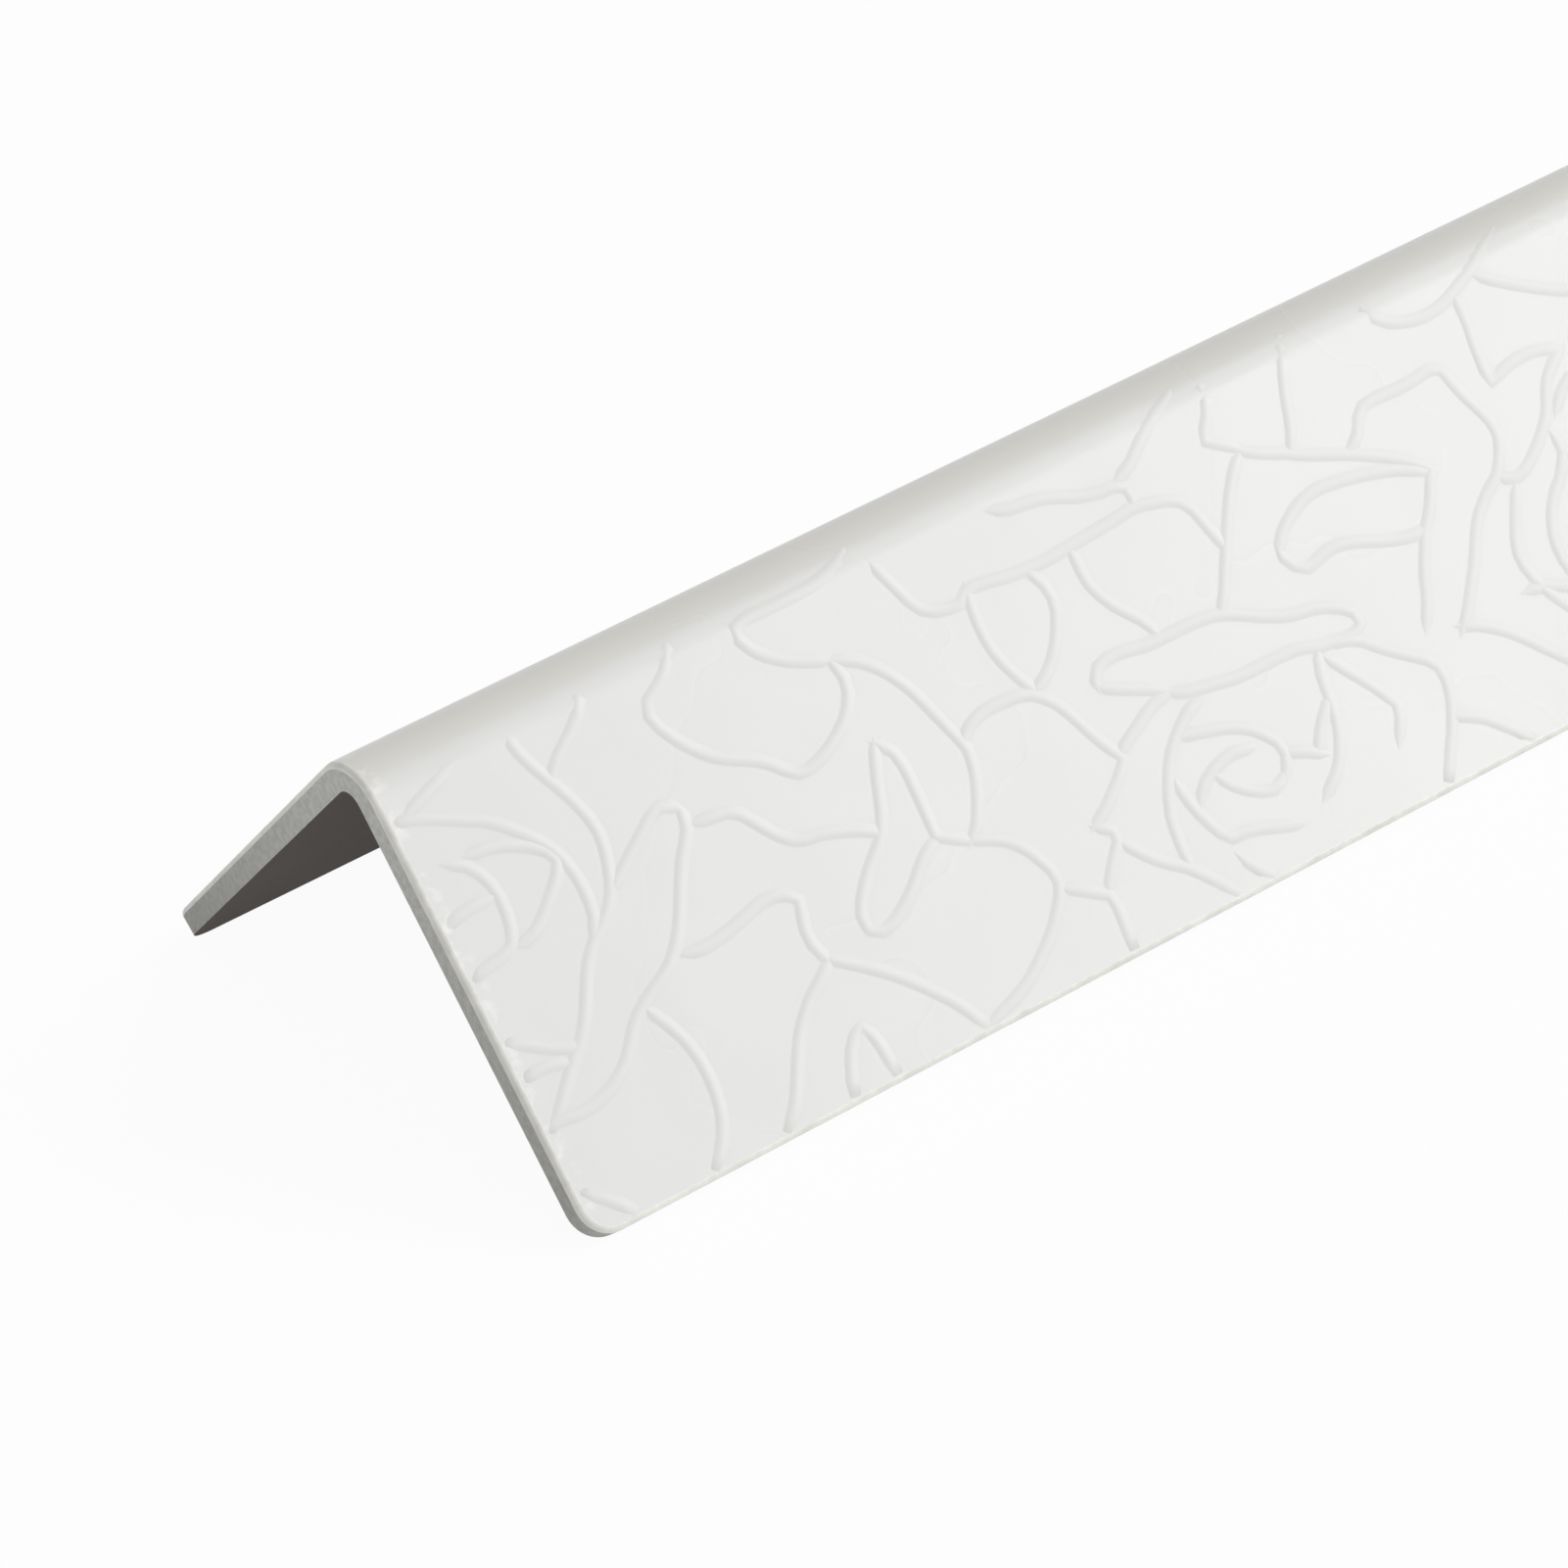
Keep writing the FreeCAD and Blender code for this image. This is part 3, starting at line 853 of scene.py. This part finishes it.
def folded_place(tree, given):
    """Nodes: where a point of the flat pattern comes to lie on the moulding.

    X is the distance from the end, Y the distance from the sharp corner, Z the height over
    the face.
    """
    sums = Sums(tree)
    flat = point_place(tree)
    half_length = sums.over(given["Length"], 2.0)
    along = sums.take(flat["X"], half_length)
    radius = given["Corner Radius"]

    # inside the rim, round the flange's corners too
    straight = sums.take(given["Flange Width"], radius)
    reach = sums.take(half_length, radius)
    past_edge = sums.most(sums.take(flat["Y"], straight), 0.0)
    past_end = sums.most(sums.take(sums.size(along), reach), 0.0)
    past = sums.root(
        sums.add(sums.times(past_edge, past_edge), sums.times(past_end, past_end)))
    inset, tiny = 0.05 * MM, 0.001 * MM
    limit = sums.take(radius, inset)
    shrink = sums.over(sums.least(past, limit), sums.most(past, tiny))
    across = sums.add(sums.least(flat["Y"], straight), sums.times(past_edge, shrink))
    distance = sums.add(
        sums.least(sums.size(along), reach), sums.times(past_end, shrink))
    x = sums.times(distance, sums.math("SIGN", along))
    from_rim = sums.take(radius, sums.least(past, limit))

    # the height, less near the rim, and on the rim's own rounding
    rim = given["Rim Radius"]
    into_rim = sums.most(sums.take(rim, from_rim), 0.0)
    drop = sums.take(
        rim, sums.root(sums.take(sums.times(rim, rim), sums.times(into_rim, into_rim))))
    kept = sums.times(
        sums.ramp(from_rim, inset, sums.add(given["Rim Fade"], inset)),
        sums.ramp(sums.take(half_length, distance), 2 * inset, given["End Fade"]))
    raised = sums.times(sums.add(flat["Z"], given["Foot Depth"]), kept)
    height = sums.take(sums.take(raised, given["Foot Depth"]), drop)

    # down the flange, or round the ridge and never over its crown
    half = given["Half Angle"]
    sine, cosine = sums.sine(half), sums.cosine(half)
    ridge = given["Ridge Radius"]
    tangent = sums.over(ridge, sums.math("TANGENT", half))
    turn = sums.least(
        sums.over(sums.most(sums.take(tangent, across), 0.0), ridge),
        sums.take(math.pi / 2, half))
    normal_y = sums.times(sums.cosine(sums.add(half, turn)), -1.0)
    normal_z = sums.sine(sums.add(half, turn))
    down = sums.most(across, tangent)
    y = sums.add(
        sums.times(sums.times(down, sine), -1.0),
        sums.times(ridge, sums.add(normal_y, cosine)))
    z = sums.add(
        sums.take(given["Ridge Height"], sums.times(down, cosine)),
        sums.times(ridge, sums.take(normal_z, sine)))
    y = sums.add(y, sums.times(height, normal_y))
    z = sums.add(z, sums.times(height, normal_z))
    crown = sums.add(sums.take(given["Ridge Height"], sums.over(ridge, sine)), ridge)
    z = sums.least(z, crown)

    # the other flange has the same pattern, turned half round about Z
    side = given["Side"]
    return joined(tree, X=sums.times(x, side), Y=sums.times(y, side), Z=z)


def make_relief_tree(names):
    """The node tree that presses the pattern's strokes onto one flange, with these inputs."""
    tree = bpy.data.node_groups.new("embossed_pattern", "GeometryNodeTree")
    tree.interface.new_socket("Geometry", in_out="INPUT", socket_type="NodeSocketGeometry")
    for name in names:
        kind = KIND_OF_INPUT.get(name, "NodeSocketFloat")
        tree.interface.new_socket(name, in_out="INPUT", socket_type=kind)
    tree.interface.new_socket("Geometry", in_out="OUTPUT", socket_type="NodeSocketGeometry")
    given = add_node(tree, "NodeGroupInput").outputs

    strokes = swept_strokes(tree, given, repeated_lines(tree, given))
    folded = made_by(
        tree, "SetPosition", {"Geometry": strokes, "Position": folded_place(tree, given)})
    outward = made_by(tree, "FlipFaces", {"Mesh": folded})
    smooth = made_by(tree, "SetShadeSmooth", {"Geometry": outward})
    whole = made_by(tree, "RealizeInstances", {"Geometry": smooth})
    finished = made_by(
        tree, "SetMaterial", {"Geometry": whole, "Material": given["Finish"]})
    add_node(tree, "NodeGroupOutput", {"Geometry": finished})
    lay_out(tree)
    return tree


def relief_values(scene, lines, side):
    """The tree's inputs, from the panel's sizes."""
    sizes, relief = scene.moulding_sizes, scene.moulding_relief
    half = sizes.flange_angle / 2
    further = relief.left_fade if side < 0 else 0.0
    values = {
        "Lines": lines,
        "Count": math.ceil(sizes.stock_length / relief.repeat) + 1,
        "Length": sizes.stock_length,
        "Half Angle": half,
        "Ridge Height": (sizes.flange_width * math.cos(half)
                         + sizes.wall_at_edge * math.sin(half)),
        "Corner Radius": sizes.end_corner_radius,
        "Fade Start": relief.fade_start + further,
        "Fade End": relief.fade_end + further,
        "Side": side,
        "Finish": finish_named("raised_stroke"),
    }
    same_names = (
        (sizes, ("flange_width", "ridge_radius", "rim_radius")),
        (relief, ("repeat", "half_width", "height", "foot_depth", "spacing", "taper",
                  "rim_fade", "end_fade", "past_end", "section_points")))
    for group, names in same_names:
        for name in names:
            values[name.replace("_", " ").title()] = getattr(group, name)
    return values


def run_tree(name, tree, values):
    """What a node tree makes with these inputs, as a plain mesh."""
    host = placed(name + "_host", bpy.data.meshes.new(name + "_host"))
    maker = host.modifiers.new("maker", "NODES")
    maker.node_group = tree
    for item in tree.interface.items_tree:
        if item.in_out == "INPUT" and item.name in values:
            maker[item.identifier] = values[item.name]
    ready = host.evaluated_get(bpy.context.evaluated_depsgraph_get())
    mesh = bpy.data.meshes.new_from_object(ready)
    mesh.name = name
    bpy.data.objects.remove(host)
    if not mesh.polygons:
        raise RuntimeError(name + " came out empty")
    # the hump's foot turns sharply under the face, so its shading stops there
    mesh.set_sharp_from_angle(angle=SHARP_FOOT)
    return mesh


class MOULDING_OT_relief(Operator):
    """Emboss the roses and leaves on both flanges"""

    bl_idname = "moulding.relief"
    bl_label = "Embossed pattern"

    def execute(self, context):
        lines = make_stroke_lines(context.scene.moulding_relief.overlap)
        right, left = (relief_values(context.scene, lines, side) for side in (1.0, -1.0))
        tree = make_relief_tree(right)
        for name, values in (("relief_right", right), ("relief_left", left)):
            relief = placed(name, run_tree(name, tree, values))
            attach(relief, "root")
        bpy.data.objects.remove(lines)
        return {"FINISHED"}


def seen_straight(tree):
    """Nodes: 1 for what the camera sees, also in a mirror or through glass."""
    seen = add_node(tree, "ShaderNodeLightPath").outputs
    sums = Sums(tree)
    return sums.most(sums.most(seen["Is Camera Ray"], seen["Is Glossy Ray"]),
                     seen["Is Transmission Ray"])


def make_floor_finish(floor_colour, floor_white):
    """Pale floor that keeps the shadow, and that a camera under it sees through."""
    material = bpy.data.materials.new("pale_floor")
    material.use_nodes = True
    tree = material.node_tree
    tree.nodes.clear()
    matte = add_node(tree, "ShaderNodeBsdfDiffuse", {"Color": (*floor_colour, 1.0)})
    white = add_node(tree, "ShaderNodeEmission", {"Strength": 1.0})
    lit = add_node(
        tree, "ShaderNodeMixShader",
        {0: Sums(tree).times(seen_straight(tree), floor_white), 1: matte.outputs[0],
         2: white.outputs[0]})
    clear = add_node(tree, "ShaderNodeBsdfTransparent")
    below = add_node(tree, "ShaderNodeNewGeometry").outputs["Backfacing"]
    both = add_node(
        tree, "ShaderNodeMixShader",
        {0: below, 1: lit.outputs[0], 2: clear.outputs[0]})
    add_node(tree, "ShaderNodeOutputMaterial", {"Surface": both.outputs[0]})
    lay_out(tree)
    return material


def make_floor(stage):
    """One large square under the moulding."""
    reach = stage.floor_size / 2
    # a hair under the free edges, so that no two faces lie in one plane
    level = -0.02 * MM
    mesh = bpy.data.meshes.new("floor")
    mesh.from_pydata(
        [(-reach, -reach, level), (reach, -reach, level), (reach, reach, level),
         (-reach, reach, level)], [], [(0, 1, 2, 3)])
    mesh.materials.append(make_floor_finish(stage.floor_colour, stage.floor_white))
    placed("floor", mesh)


def make_lamp(name, strength, spread, direction):
    """A soft distant lamp that shines from this direction."""
    data = bpy.data.lights.new(name, "SUN")
    data.energy = strength
    data.angle = spread
    lamp = placed(name, data)
    lamp.rotation_euler = Vector(direction).to_track_quat("Z", "Y").to_euler()


def make_surround(strength):
    """Even light from all sides, seen as white."""
    world = bpy.data.worlds.new("studio")
    bpy.context.scene.world = world
    world.use_nodes = True
    tree = world.node_tree
    background = tree.nodes["Background"]
    background.inputs["Color"].default_value = (1.0, 1.0, 1.0, 1.0)
    level = Sums(tree).math(
        "MULTIPLY_ADD", seen_straight(tree), 1.0 - strength, strength)
    tree.links.new(level, background.inputs["Strength"])
    lay_out(tree)


def make_camera(stage):
    """The camera of the photograph."""
    data = bpy.data.cameras.new("camera")
    data.sensor_width = 36.0
    data.lens = stage.lens
    data.clip_start, data.clip_end = 0.01, 100.0
    camera = placed("camera", data)
    side, height = stage.camera_azimuth, stage.camera_elevation
    back = Vector((
        math.sin(side) * math.cos(height), -math.cos(side) * math.cos(height),
        math.sin(height)))
    camera.location = stage.camera_place
    camera.rotation_mode = "QUATERNION"
    level = back.to_track_quat("Z", "Y")
    camera.rotation_quaternion = level @ Euler((0.0, 0.0, stage.camera_roll)).to_quaternion()
    bpy.context.scene.camera = camera


class MOULDING_OT_stage(Operator):
    """Set up the floor, the light and the camera"""

    bl_idname = "moulding.stage"
    bl_label = "Stage"

    def execute(self, context):
        scene = context.scene
        stage = scene.moulding_stage
        make_floor(stage)
        for name in ("key", "upper", "ridge", "fill"):
            make_lamp(name, *(getattr(stage, name + end)
                              for end in ("_strength", "_spread", "_from")))
        make_surround(stage.surround)
        make_camera(stage)
        scene.view_settings.view_transform = "Standard"
        return {"FINISHED"}


class MOULDING_PT_panel(Panel):
    """The moulding's sizes, finishes and steps"""

    bl_label = "Corner guard moulding"
    bl_idname = "MOULDING_PT_panel"
    bl_space_type = "VIEW_3D"
    bl_region_type = "UI"
    bl_category = "Moulding"

    def draw(self, context):
        scene = context.scene
        for title, group, step in (
                ("Moulding", scene.moulding_sizes, MOULDING_OT_body),
                ("Pattern", scene.moulding_relief, MOULDING_OT_relief),
                ("Finish", scene.moulding_finish, None),
                ("Stage", scene.moulding_stage, MOULDING_OT_stage)):
            box = self.layout.box()
            box.label(text=title)
            for name in group.__annotations__:
                box.prop(group, name)
            if step:
                box.operator(step.bl_idname)


GROUPS = {
    "moulding_sizes": MouldingSizes, "moulding_relief": ReliefSizes,
    "moulding_finish": FinishSettings, "moulding_stage": StageSettings,
}
CLASSES = (
    *GROUPS.values(), MOULDING_OT_body, MOULDING_OT_relief, MOULDING_OT_stage,
    MOULDING_PT_panel,
)


def register():
    for item in CLASSES:
        bpy.utils.register_class(item)
    for name, group in GROUPS.items():
        setattr(bpy.types.Scene, name, PointerProperty(type=group))


def unregister():
    for name in GROUPS:
        delattr(bpy.types.Scene, name)
    for item in reversed(CLASSES):
        bpy.utils.unregister_class(item)


def main():
    register()
    bpy.ops.moulding.body()
    bpy.ops.moulding.relief()
    bpy.ops.moulding.stage()


if __name__ == "__main__":
    main()
